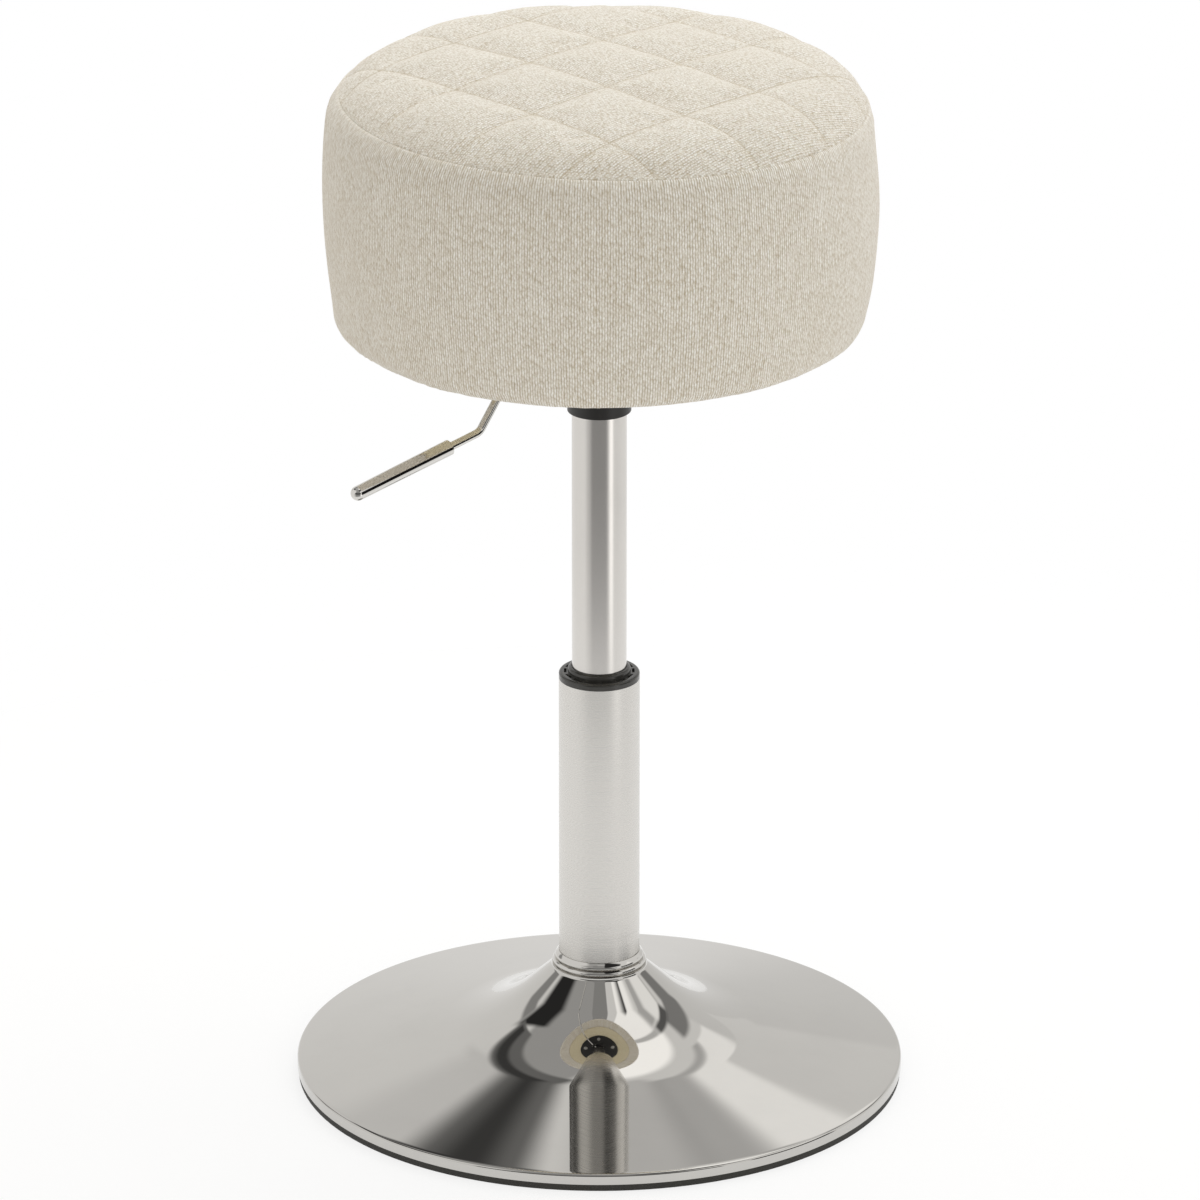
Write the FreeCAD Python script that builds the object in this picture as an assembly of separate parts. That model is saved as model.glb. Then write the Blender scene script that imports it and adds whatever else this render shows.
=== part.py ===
import FreeCAD
import Part
import math
import os
from FreeCAD import Vector

# Vanity stool with a gas-lift column. Millimetres, +Z up, origin on the floor under the column's axis.
# The seat stands at the top of its travel, and the lever is at rest.

# Fits
fit_gap = 0.05  # radial gap of pieces that are fixed together
running_gap = 0.06  # radial gap of pieces that turn or slide in one another
side_gap = 0.3  # room beside a piece that swings or turns
soft_gap = 0.3  # room left round fabric and foam

# Trumpet base
base_radius = 192.5
shell_wall = 1.5
rim_inner_bend = 0.6
rim_band_height = 5.0
neck_radius = 30.0
neck_straight = 0.8
neck_bend_radius = 2.0
neck_slope = 42.0  # slope of the short cone under the neck, in degrees
neck_cone_radius = 47.0  # where the neck's cone runs into the flare
flare_radius = 113.2
rim_slope = 11.6  # slope of the wide cone between the flare and the rim
gasket_height = 4.4
gasket_setback = 0.7
gasket_lip_height = 4.0
gasket_lip_wall = 2.4
gasket_ledge_width = 10.0
gasket_ledge_thickness = 3.4
weight_inset = 17.5
weight_thickness = 6.0
weight_bore_radius = 20.0

# Column foot and its screws
foot_radius = 52.0
foot_thickness = 8.0
foot_boss_height = 5.0
screw_count = 4
screw_edge_distance = 12.0
screw_radius = 3.0
screw_head_radius = 6.0
screw_length = 12.0
screw_socket_radius = 2.0
screw_socket_depth = 1.8

# Column
outer_tube_radius = 25.5
outer_tube_wall = 1.5
collar_radius = 29.6
collar_upper_radius = 28.0
collar_bead_bulge = 0.9
collar_bead_height = 3.4
collar_cove_height = 1.7
collar_spigot_length = 6.0
guide_bush_length = 66.0
guided_length = 82.2  # length of gas cylinder inside the outer tube with the seat raised
guide_ring_thickness = 4.3
guide_ring_skirt_length = 7.6
guide_ring_skirt_wall = 3.5
guide_ring_lip_height = 3.7
guide_ring_lip_wall = 2.4
guide_ring_edge_radius = 1.5
guide_slot_count = 14
guide_slot_length = 7.0
guide_slot_width = 1.6
guide_slot_depth = 1.4
guide_slot_inset = 4.1

# Gas spring
stroke = 140.0
cylinder_radius = 17.2
cylinder_wall = 2.2
cylinder_lip_width = 1.6
cylinder_lip_thickness = 1.5
exposed_reserve = 31.2  # cylinder still showing above the guide ring with the seat lowered
bottom_reserve = 5.0
taper_length = 31.2
taper_top_radius = 16.1
rod_radius = 5.0
rod_spigot_radius = 4.0
rod_tip_length = 2.2
rod_head_height = 3.0
gland_length = 18.0
gland_seal_wall = 2.0
gland_seal_height = 3.0
piston_height = 12.0
piston_gap = 2.0
seal_section_radius = 1.2
valve_length = 22.0
pin_radius = 3.5
pin_tip_radius = 1.5
pin_tip_height = 1.5
pin_protrusion = 4.2
pin_flange_radius = 6.0
pin_flange_height = 3.0

# Swivel bearing and the rod's retainer
race_radius = 13.0
race_thickness = 2.0
ball_radius = 2.0
ball_count = 8
ball_play = 0.02
cage_wall = 1.2
cage_height = 2.4
bump_radius = 14.0
bump_height = 10.0
retainer_radius = 9.0
retainer_washer_thickness = 1.0
clip_thickness = 1.2
clip_radius = 7.0
clip_groove_depth = 1.0
clip_mouth_width = 6.0

# Seat mechanism
socket_radius = 20.0
plate_radius = 75.0
plate_thickness = 3.2
bolt_count = 4
bolt_edge_distance = 20.0
bolt_radius = 3.0
bolt_clearance = 0.3
bolt_head_radius = 5.8
bolt_head_height = 4.0
bolt_length = 20.0
washer_radius = 8.0
washer_thickness = 1.2
tee_barrel_wall = 1.0
tee_barrel_length = 10.0
tee_flange_radius = 9.0
tee_flange_thickness = 1.2

# Release lever
lever_azimuth = 222.0
lever_rod_radius = 2.65
lever_overhang = 3.0
lever_run = 76.5
lever_drop = 28.8
lever_drop_angle = 51.3
lever_slope = 8.8
lever_bend_radius = 8.0
grip_offset = 25.3
grip_length = 79.3
grip_inner_radius = 5.0
grip_outer_radius = 4.65
grip_end_wall = 6.0
release_gap = 0.15
pivot_offset = 10.0
pivot_rise = 6.5
pivot_pin_radius = 2.0
pivot_head_radius = 3.2
pivot_head_height = 1.5
hub_length = 12.0
hub_width = 10.0
hub_wall = 1.9
hub_crown = 4.0
ear_thickness = 3.0
ear_margin = 4.5
bracket_web = 2.0
bracket_headroom = 1.1
slot_side_room = 0.8
slot_lower_room = 3.2
slot_upper_room = 1.5

# Cushion
seat_radius = 170.8
seat_belly_height = 85.0
seat_side_arc_radius = 391.0
seat_corner_height = 11.0
seat_corner_width = 8.0
seam_height = 147.6
crown_height = 171.0
crown_arc_radius = 1262.0
shoulder_width = 48.0
cover_thickness = 2.0
panel_thickness = 9.0
board_thickness = 15.0
board_edge_margin = 10.0
hem_width = 24.0
quilt_pitch = 64.0
quilt_lines = 4
quilt_turn = 45.0
channel_depth = 4.0
channel_half_width = 7.0
channel_slot_half_width = 0.8
channel_overrun = 1.0  # how far the channel's walls run on below its floor
channel_wall_bulge = 0.9
staple_count = 24
staple_crown_length = 10.0
staple_wire_width = 1.2
staple_wire_thickness = 0.6
staple_leg_length = 9.0

# Heights, from the floor up
weight_top = gasket_ledge_thickness + weight_thickness
foot_top = weight_top + foot_thickness
bearing_bottom = foot_top + foot_boss_height
ball_centre = bearing_bottom + race_thickness + ball_play + ball_radius
upper_race_bottom = ball_centre + ball_radius + ball_play
rod_shoulder = upper_race_bottom + race_thickness
bump_top = rod_shoulder + bump_height
cylinder_bottom = bump_top + bottom_reserve + stroke
outer_tube_top = cylinder_bottom + guided_length
guide_ring_top = outer_tube_top + guide_ring_thickness
guide_lip_top = guide_ring_top + guide_ring_lip_height
taper_bottom = guide_lip_top + stroke + exposed_reserve
cylinder_top = taper_bottom + taper_length
pin_top = cylinder_top + pin_protrusion
lever_height = pin_top + release_gap + lever_rod_radius
pivot_height = lever_height + pivot_rise
hub_swing = math.hypot(hub_length / 2, hub_crown)
web_bottom = pivot_height + hub_swing + bracket_headroom
plate_bottom = web_bottom + bracket_web
seat_bottom = plate_bottom + plate_thickness
board_bottom = seat_bottom + cover_thickness
board_top = board_bottom + board_thickness
seam_level = seat_bottom + seam_height
crown_top = seat_bottom + crown_height
retainer_top = weight_top - running_gap
retainer_bottom = retainer_top - retainer_washer_thickness
clip_bottom = retainer_bottom - clip_thickness
rod_bottom = clip_bottom - rod_tip_length
gland_bottom = cylinder_bottom + cylinder_lip_thickness
gland_top = gland_bottom + gland_length
piston_bottom = gland_top + piston_gap
piston_top = piston_bottom + piston_height

# Radii that follow from the sizes above
weight_radius = base_radius - weight_inset
rim_edge_radius = shell_wall + rim_inner_bend
outer_tube_bore = outer_tube_radius - outer_tube_wall
cylinder_bore = cylinder_radius - cylinder_wall
screw_circle = foot_radius - screw_edge_distance
bolt_circle = plate_radius - bolt_edge_distance
ball_circle = (rod_spigot_radius + race_radius) / 2
pivot_radius = socket_radius + pivot_offset
axis = Vector(0, 0, 1)
centre = Vector(0, 0, 0)


# Shape helpers: profiles are drawn as radius and height, then turned about the column's axis

def point(radius, height):
    return Vector(radius, 0, height)


def lines(*points):
    return [Part.LineSegment(a, b).toShape() for a, b in zip(points, points[1:])]


def arc(start, middle, end):
    return [Part.Arc(start, middle, end).toShape()]


def quarter_round(upright_end, level_end):
    # A quarter of an oval, upright where it leaves its first point and level where it reaches its second
    reach = math.sqrt(0.5)
    across = level_end.x + (upright_end.x - level_end.x) * reach
    along = upright_end.z + (level_end.z - upright_end.z) * reach
    return arc(upright_end, point(across, along), level_end)


def turned(edges):
    return Part.Face(Part.Wire(edges)).revolve(centre, axis, 360)


def turned_outline(*corners):
    points = [point(*corner) for corner in corners]
    return turned(lines(*points, points[0]))


def ring(inner, outer, bottom, top):
    return turned_outline((inner, bottom), (outer, bottom), (outer, top), (inner, top))


def rod(radius, bottom, top):
    return Part.makeCylinder(radius, top - bottom, point(0, bottom))


def block(length_span, width, height_span):
    corner = Vector(length_span[0], -width / 2, height_span[0])
    return Part.makeBox(length_span[1] - length_span[0], width, height_span[1] - height_span[0], corner)


def turned_to(shape, angle):
    copy = shape.copy()
    copy.rotate(centre, axis, angle)
    return copy


def around(shape, count, first_angle=0.0):
    return [turned_to(shape, first_angle + 360 * i / count) for i in range(count)]


# Trumpet base: a wide cone above the rim and a short one under the neck, joined by a concave flare

rim_angle = math.radians(rim_slope)
neck_angle = math.radians(neck_slope)


def bend_point(middle, radius, angle):
    return point(middle.x - radius * math.sin(angle), middle.z - radius * math.cos(angle))


def bend(middle, radius, first_angle, last_angle):
    angles = (first_angle, (first_angle + last_angle) / 2, last_angle)
    return arc(*[bend_point(middle, radius, angle) for angle in angles])


rim_centre = point(base_radius - rim_edge_radius, gasket_height + rim_band_height)
rim_shoulder = bend_point(rim_centre, -rim_edge_radius, rim_angle)
flare_edge = neck_cone_radius + flare_radius * (math.sin(neck_angle) - math.sin(rim_angle))
flare_foot = point(flare_edge, rim_shoulder.z + (rim_shoulder.x - flare_edge) * math.tan(rim_angle))
flare_centre = bend_point(flare_foot, -flare_radius, rim_angle)
flare_top = bend_point(flare_centre, flare_radius, neck_angle)
neck_cone_top = neck_radius + neck_bend_radius * (1 - math.sin(neck_angle))
neck_foot = point(neck_cone_top, flare_top.z + (flare_top.x - neck_cone_top) * math.tan(neck_angle))
neck_centre = bend_point(neck_foot, -neck_bend_radius, neck_angle)
neck_top = neck_centre.z + neck_straight
collar_top = neck_top + 2 * collar_bead_height + collar_cove_height


def trumpet_edges(inset):
    neck = neck_radius - inset
    neck_bend = neck_bend_radius + inset
    flare_bend = flare_radius + inset
    rim_bend = inset - rim_edge_radius  # below zero, as the rim bends the other way
    band = rim_centre.x - rim_bend
    edges = lines(point(neck, neck_top), point(neck, neck_centre.z))
    edges += bend(neck_centre, neck_bend, math.pi / 2, neck_angle)
    edges += lines(
        bend_point(neck_centre, neck_bend, neck_angle),
        bend_point(flare_centre, flare_bend, neck_angle),
    )
    edges += bend(flare_centre, flare_bend, neck_angle, rim_angle)
    edges += lines(
        bend_point(flare_centre, flare_bend, rim_angle),
        bend_point(rim_centre, rim_bend, rim_angle),
    )
    edges += bend(rim_centre, rim_bend, rim_angle, math.pi / 2)
    edges += lines(point(band, rim_centre.z), point(band, gasket_height))
    return edges


def base_shell():
    outside = trumpet_edges(0)
    inside = trumpet_edges(shell_wall)
    foot = lines(point(base_radius, gasket_height), point(base_radius - shell_wall, gasket_height))
    mouth = lines(point(neck_radius - shell_wall, neck_top), point(neck_radius, neck_top))
    return turned(outside + foot + inside[::-1] + mouth)


def base_gasket():
    outside = base_radius - gasket_setback
    lip_outside = base_radius - shell_wall - fit_gap
    lip_inside = lip_outside - gasket_lip_wall
    lip_top = gasket_height + gasket_lip_height
    seat_edge = weight_radius + fit_gap
    inside = weight_radius - gasket_ledge_width
    return turned_outline(
        (inside, 0),
        (outside, 0),
        (outside, gasket_height),
        (lip_outside, gasket_height),
        (lip_outside, lip_top),
        (lip_inside, lip_top),
        (lip_inside, gasket_height),
        (seat_edge, gasket_height),
        (seat_edge, gasket_ledge_thickness),
        (inside, gasket_ledge_thickness),
    )


def screw_body(gap):
    head_bottom = gasket_ledge_thickness
    head_height = screw_head_radius - screw_radius
    return turned_outline(
        (0, head_bottom),
        (screw_head_radius + gap, head_bottom),
        (screw_radius + gap, head_bottom + head_height),
        (screw_radius + gap, head_bottom + screw_length + gap),
        (0, head_bottom + screw_length + gap),
    )


def at_screws(shape):
    shape.translate(point(screw_circle, 0))
    return around(shape, screw_count)


def base_screws():
    socket = rod(screw_socket_radius, gasket_ledge_thickness, gasket_ledge_thickness + screw_socket_depth)
    return Part.makeCompound(at_screws(screw_body(0).cut(socket)))


def base_weight():
    disc = ring(weight_bore_radius, weight_radius, gasket_ledge_thickness, weight_top)
    return disc.cut(at_screws(screw_body(fit_gap)))


def tube_foot():
    bore = rod_spigot_radius + running_gap
    boss = outer_tube_bore - fit_gap
    flange = turned_outline(
        (bore, weight_top),
        (foot_radius, weight_top),
        (foot_radius, foot_top),
        (boss, foot_top),
        (boss, bearing_bottom),
        (bore, bearing_bottom),
    )
    return flange.cut(at_screws(screw_body(fit_gap)))


# Column

def outer_tube():
    return ring(outer_tube_bore, outer_tube_radius, foot_top, outer_tube_top)


def column_collar():
    inside = outer_tube_radius + fit_gap
    spigot = neck_radius - shell_wall - fit_gap
    lower = collar_radius - collar_bead_bulge
    upper = collar_upper_radius - collar_bead_bulge
    groove = neck_top + collar_bead_height
    cove = groove + collar_bead_height
    half_bead = collar_bead_height / 2
    spigot_bottom = neck_top - collar_spigot_length
    edges = lines(
        point(inside, collar_top),
        point(inside, spigot_bottom),
        point(spigot, spigot_bottom),
        point(spigot, neck_top),
        point(lower, neck_top),
    )
    edges += arc(point(lower, neck_top), point(collar_radius, neck_top + half_bead), point(lower, groove))
    edges += lines(point(lower, groove), point(upper, groove))
    edges += arc(point(upper, groove), point(collar_upper_radius, groove + half_bead), point(upper, cove))
    edges += lines(point(upper, cove), point(inside, collar_top))
    return turned(edges)


def guide_bush():
    top = outer_tube_top - guide_ring_skirt_length
    return ring(cylinder_radius + running_gap, outer_tube_bore - fit_gap, top - guide_bush_length, top)


def guide_ring():
    inside = cylinder_radius + side_gap
    lip = inside + guide_ring_lip_wall
    skirt = outer_tube_bore - fit_gap
    skirt_inside = skirt - guide_ring_skirt_wall
    skirt_bottom = outer_tube_top - guide_ring_skirt_length
    lip_bend = point(lip, guide_lip_top - guide_ring_lip_wall)
    edge_bend = point(outer_tube_radius, guide_ring_top - guide_ring_edge_radius)
    edge_end = point(outer_tube_radius - guide_ring_edge_radius, guide_ring_top)
    edges = lines(
        point(inside, guide_lip_top),
        point(inside, outer_tube_top),
        point(skirt_inside, outer_tube_top),
        point(skirt_inside, skirt_bottom),
        point(skirt, skirt_bottom),
        point(skirt, outer_tube_top),
        point(outer_tube_radius, outer_tube_top),
        edge_bend,
    )
    edges += quarter_round(edge_bend, edge_end)
    edges += lines(edge_end, point(lip, guide_ring_top), lip_bend)
    edges += quarter_round(lip_bend, point(inside, guide_lip_top))
    slot_circle = outer_tube_radius - guide_slot_inset
    slot_span = (slot_circle - guide_slot_width / 2, slot_circle + guide_slot_width / 2)
    slot = block(slot_span, guide_slot_length, (guide_ring_top - guide_slot_depth, guide_ring_top))
    return turned(edges).cut(around(slot, guide_slot_count))


# Swivel bearing, and the rod that stands on it

def bearing_lower_race():
    inside = rod_spigot_radius + running_gap
    return ring(inside, race_radius, bearing_bottom, bearing_bottom + race_thickness)


def bearing_balls():
    ball = Part.makeSphere(ball_radius, point(ball_circle, ball_centre))
    return Part.makeCompound(around(ball, ball_count))


def bearing_cage():
    half_width = ball_radius + cage_wall
    bottom = ball_centre - cage_height / 2
    top = ball_centre + cage_height / 2
    band = ring(ball_circle - half_width, ball_circle + half_width, bottom, top)
    pocket = Part.makeCylinder(ball_radius + running_gap, cage_height, point(ball_circle, bottom))
    return band.cut(around(pocket, ball_count))


def bearing_upper_race():
    return ring(rod_spigot_radius + fit_gap, race_radius, upper_race_bottom, rod_shoulder)


def piston_rod():
    groove = rod_spigot_radius - clip_groove_depth
    return turned_outline(
        (0, rod_bottom),
        (rod_spigot_radius, rod_bottom),
        (rod_spigot_radius, clip_bottom),
        (groove, clip_bottom),
        (groove, retainer_bottom),
        (rod_spigot_radius, retainer_bottom),
        (rod_spigot_radius, rod_shoulder),
        (rod_radius, rod_shoulder),
        (rod_radius, piston_bottom),
        (rod_spigot_radius, piston_bottom),
        (rod_spigot_radius, piston_top),
        (rod_radius, piston_top),
        (rod_radius, piston_top + rod_head_height),
        (0, piston_top + rod_head_height),
    )


def rod_washer():
    return ring(rod_spigot_radius + fit_gap, retainer_radius, retainer_bottom, retainer_top)


def rod_clip():
    inside = rod_spigot_radius - clip_groove_depth + fit_gap
    mouth = block((0, clip_radius), clip_mouth_width, (clip_bottom, retainer_bottom))
    return ring(inside, clip_radius, clip_bottom, retainer_bottom).cut(mouth)


def bump_stop():
    return ring(rod_radius + fit_gap, bump_radius, rod_shoulder, bump_top)


seal_groove_height = 2 * (seal_section_radius + fit_gap)
seal_circle = cylinder_bore - running_gap - seal_section_radius
seal_level = (piston_bottom + piston_top) / 2


def piston():
    outside = cylinder_bore - running_gap
    groove = seal_circle - seal_section_radius - fit_gap
    groove_bottom = seal_level - seal_groove_height / 2
    groove_top = seal_level + seal_groove_height / 2
    return turned_outline(
        (rod_spigot_radius + fit_gap, piston_bottom),
        (outside, piston_bottom),
        (outside, groove_bottom),
        (groove, groove_bottom),
        (groove, groove_top),
        (outside, groove_top),
        (outside, piston_top),
        (rod_spigot_radius + fit_gap, piston_top),
    )


def piston_seal():
    return Part.makeTorus(seal_circle, seal_section_radius, point(0, seal_level))


# Gas cylinder and its valve

def gas_cylinder():
    lip = cylinder_bore - cylinder_lip_width
    return turned_outline(
        (lip, cylinder_bottom),
        (cylinder_radius, cylinder_bottom),
        (cylinder_radius, taper_bottom),
        (taper_top_radius, cylinder_top),
        (cylinder_bore, cylinder_top),
        (cylinder_bore, gland_bottom),
        (lip, gland_bottom),
    )


gland_seal_bottom = (gland_bottom + gland_top - gland_seal_height) / 2
gland_seal_top = gland_seal_bottom + gland_seal_height
gland_bore = rod_radius + running_gap


def rod_gland():
    groove = gland_bore + gland_seal_wall + fit_gap
    plug = ring(gland_bore, cylinder_bore - fit_gap, gland_bottom, gland_top)
    return plug.cut(ring(gland_bore, groove, gland_seal_bottom, gland_seal_top))


def gland_seal():
    return ring(gland_bore, gland_bore + gland_seal_wall, gland_seal_bottom, gland_seal_top)


def valve_body():
    return ring(pin_radius + running_gap, cylinder_bore - fit_gap, cylinder_top - valve_length, cylinder_top)


def valve_pin():
    flange_top = cylinder_top - valve_length - running_gap
    flange_bottom = flange_top - pin_flange_height
    return turned_outline(
        (0, flange_bottom),
        (pin_flange_radius, flange_bottom),
        (pin_flange_radius, flange_top),
        (pin_radius, flange_top),
        (pin_radius, pin_top - pin_tip_height),
        (pin_tip_radius, pin_top),
        (0, pin_top),
    )


# Seat mechanism: drawn with the lever along +X, then turned to the lever's azimuth

def to_lever(shape):
    return turned_to(shape, lever_azimuth)


def lift_socket():
    mouth = cylinder_radius + fit_gap
    throat = taper_top_radius + fit_gap
    tube = turned_outline(
        (mouth, taper_bottom),
        (socket_radius, taper_bottom),
        (socket_radius, plate_bottom),
        (throat, plate_bottom),
        (throat, cylinder_top),
    )
    slot_width = 2 * (lever_rod_radius + slot_side_room)
    slot_bottom = lever_height - lever_rod_radius - slot_lower_room
    slot_top = lever_height + lever_rod_radius + slot_upper_room
    return tube.cut(to_lever(block((0, socket_radius), slot_width, (slot_bottom, slot_top))))


bolt_first_angle = lever_azimuth + 180 / bolt_count


def at_bolts(shape):
    shape.translate(point(bolt_circle, 0))
    return around(shape, bolt_count, bolt_first_angle)


def bolt_holes(bottom, top):
    return at_bolts(rod(bolt_radius + bolt_clearance, bottom, top))


def mount_plate():
    return rod(plate_radius, plate_bottom, seat_bottom).cut(bolt_holes(plate_bottom, seat_bottom))


def lever_bracket():
    inner_width = hub_width + 2 * side_gap
    outer_width = inner_width + 2 * ear_thickness
    ear_bottom = pivot_height - ear_margin
    half_length = hub_length / 2
    span = (pivot_radius - half_length + side_gap, pivot_radius + half_length + side_gap)
    channel = block(span, outer_width, (ear_bottom, plate_bottom))
    channel = channel.cut(block(span, inner_width, (ear_bottom, web_bottom)))
    return to_lever(channel.cut(pivot_bar(pivot_pin_radius + fit_gap, outer_width)))


def pivot_bar(radius, length):
    return Part.makeCylinder(radius, length, Vector(pivot_radius, -length / 2, pivot_height), Vector(0, 1, 0))


def lever_pivot_pin():
    grip = hub_width + 2 * (side_gap + ear_thickness)
    pin = pivot_bar(pivot_pin_radius, grip)
    heads = pivot_bar(pivot_head_radius, grip + 2 * pivot_head_height)
    return to_lever(pin.fuse(heads.cut(pivot_bar(2 * pivot_head_radius, grip))))


def mount_washers():
    washer = ring(bolt_radius + bolt_clearance, washer_radius, plate_bottom - washer_thickness, plate_bottom)
    return Part.makeCompound(at_bolts(washer))


def mount_bolts():
    head_top = plate_bottom - washer_thickness
    head_bottom = head_top - bolt_head_height
    angles = [math.radians(60 * i) for i in range(7)]
    corners = [Vector(math.cos(a), math.sin(a), 0) * bolt_head_radius + point(0, head_bottom) for a in angles]
    head = Part.Face(Part.makePolygon(corners)).extrude(point(0, bolt_head_height))
    return Part.makeCompound(at_bolts(head.fuse(rod(bolt_radius, head_top, head_top + bolt_length))))


def tee_nut_body(gap):
    barrel = rod(bolt_radius + tee_barrel_wall + gap, board_top - tee_barrel_length, board_top)
    return barrel.fuse(rod(tee_flange_radius + gap, board_top, board_top + tee_flange_thickness + gap))


def tee_nuts():
    thread = rod(bolt_radius + fit_gap, board_top - tee_barrel_length, board_top + tee_flange_thickness)
    return Part.makeCompound(at_bolts(tee_nut_body(0).cut(thread)))


# Release lever: a bent rod through a pivot block, with a sleeve for the fingers

drop_angle = math.radians(lever_drop_angle)
slope = math.radians(lever_slope)
slope_direction = Vector(math.cos(slope), 0, -math.sin(slope))
first_bend = point(lever_run, lever_height)
second_bend = first_bend + point(lever_drop / math.tan(drop_angle), -lever_drop)
grip_start = second_bend + slope_direction * grip_offset
grip_end = grip_start + slope_direction * grip_length


def rounded_corner(before, corner, after, radius):
    inward = (before - corner).normalize()
    outward = (after - corner).normalize()
    half_turn = inward.getAngle(outward) / 2
    setback = radius / math.tan(half_turn)
    bisector = (inward + outward).normalize()
    middle = corner + bisector * (radius / math.sin(half_turn) - radius)
    return corner + inward * setback, middle, corner + outward * setback


def lever_rod():
    start = point(-lever_overhang, lever_height)
    end = grip_end - slope_direction * grip_end_wall
    first = rounded_corner(start, first_bend, second_bend, lever_bend_radius)
    second = rounded_corner(first_bend, second_bend, end, lever_bend_radius)
    route = lines(start, first[0]) + arc(*first) + lines(first[2], second[0])
    route += arc(*second) + lines(second[2], end)
    section = Part.Wire(Part.makeCircle(lever_rod_radius, start, Vector(1, 0, 0)))
    return to_lever(Part.Wire(route).makePipeShell([section], True, False))


def lever_hub():
    half_length = hub_length / 2
    span = (pivot_radius - half_length, pivot_radius + half_length)
    bore_radius = lever_rod_radius + fit_gap
    bottom = lever_height - bore_radius - hub_wall
    body = block(span, hub_width, (bottom, pivot_height + hub_crown))
    bore = Part.makeCylinder(bore_radius, hub_length, point(span[0], lever_height), Vector(1, 0, 0))
    return to_lever(body.cut(bore).cut(pivot_bar(pivot_pin_radius + running_gap, hub_width)))


def lever_grip():
    bore = lever_rod_radius + fit_gap
    bore_end = grip_length - grip_end_wall
    round_start = grip_length - grip_outer_radius
    diagonal = grip_outer_radius / math.sqrt(2)
    edges = lines(
        point(0, grip_length),
        point(0, bore_end),
        point(bore, bore_end),
        point(bore, 0),
        point(grip_inner_radius, 0),
        point(grip_outer_radius, round_start),
    )
    edges += arc(
        point(grip_outer_radius, round_start),
        point(diagonal, round_start + diagonal),
        point(0, grip_length),
    )
    sleeve = turned(edges)
    sleeve.rotate(centre, Vector(0, 1, 0), 90 + lever_slope)
    sleeve.translate(grip_start)
    return to_lever(sleeve)


# Cushion: a barrel-shaped wall and a crown with rounded shoulders; insets are measured in from the fabric

belly_level = seat_bottom + seat_belly_height


def side_radius(level, inset):
    sphere = seat_side_arc_radius - inset
    return seat_radius - seat_side_arc_radius + math.sqrt(sphere**2 - (level - belly_level) ** 2)


seam_radius = side_radius(seam_level, 0)
corner_level = seat_bottom + seat_corner_height
corner_radius = side_radius(corner_level, 0)
foot_edge = corner_radius - seat_corner_width
board_radius = foot_edge - board_edge_margin
hem_radius = board_radius - hem_width

crown_centre = crown_top - crown_arc_radius
shoulder_radius = seam_radius - shoulder_width
shoulder_angle = math.asin(shoulder_radius / crown_arc_radius)
shoulder_start = point(shoulder_radius, crown_centre + crown_arc_radius * math.cos(shoulder_angle))
shoulder_chord = point(seam_radius, seam_level) - shoulder_start
shoulder_half_turn = math.atan2(-shoulder_chord.z, shoulder_chord.x) - shoulder_angle
shoulder_arc_radius = shoulder_chord.Length / (2 * math.sin(shoulder_half_turn))
shoulder_out = point(math.sin(shoulder_angle), math.cos(shoulder_angle))
shoulder_centre = shoulder_start - shoulder_out * shoulder_arc_radius


def on_crown(angle, inset):
    radius = crown_arc_radius - inset
    return point(radius * math.sin(angle), crown_centre + radius * math.cos(angle))


def on_shoulder(angle, inset):
    radius = shoulder_arc_radius - inset
    return shoulder_centre + point(math.sin(angle), math.cos(angle)) * radius


def crown_edges(inset, level):
    end_angle = math.acos((level - shoulder_centre.z) / (shoulder_arc_radius - inset))
    middle_angle = (shoulder_angle + end_angle) / 2
    edges = arc(on_crown(0, inset), on_crown(shoulder_angle / 2, inset), on_crown(shoulder_angle, inset))
    shoulder = [on_shoulder(angle, inset) for angle in (shoulder_angle, middle_angle, end_angle)]
    return edges + arc(*shoulder), shoulder[-1]


def side_edges(inset, bottom, top):
    levels = (bottom, (bottom + top) / 2, top)
    return arc(*[point(side_radius(level, inset), level) for level in levels])


def corner_edges(inset):
    wall = point(side_radius(corner_level, inset), corner_level)
    return quarter_round(wall, point(foot_edge, seat_bottom + inset))


def crown_solid(inset):
    edges, end = crown_edges(inset, seam_level)
    rim = [end, point(0, seam_level), on_crown(0, inset)]
    return turned(edges + lines(*rim))


def quilt_channel(offset):
    surface = math.sqrt(crown_arc_radius**2 - offset**2)
    floor = surface - channel_depth - channel_overrun
    slot_floor = seam_level - crown_centre - channel_depth
    roof = surface + channel_depth

    def place(across, distance):
        return Vector(0, offset + across, crown_centre + distance)

    half = []
    for side in (-1, 1):
        top = place(side * channel_half_width, surface)
        foot = place(side * channel_slot_half_width, floor)
        middle = (top + foot) * 0.5
        fall = foot - top
        swell = Vector(0, side * fall.z, -side * fall.y).normalize() * channel_wall_bulge
        wall = arc(top, middle + swell, foot)
        half.append((top, foot, wall))
    left, right = half
    edges = lines(left[0], place(-channel_half_width, roof), place(channel_half_width, roof), right[0])
    edges += right[2]
    low_right = place(channel_slot_half_width, slot_floor)
    low_left = place(-channel_slot_half_width, slot_floor)
    edges += lines(right[1], low_right, low_left, left[1])
    edges += left[2]
    sweep = 2 * math.degrees(math.asin(seat_radius / crown_arc_radius))
    pivot = Vector(0, 0, crown_centre)
    section = Part.Face(Part.Wire(edges))
    section.rotate(pivot, Vector(0, 1, 0), -sweep / 2)
    return section.revolve(pivot, Vector(0, 1, 0), sweep)


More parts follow.
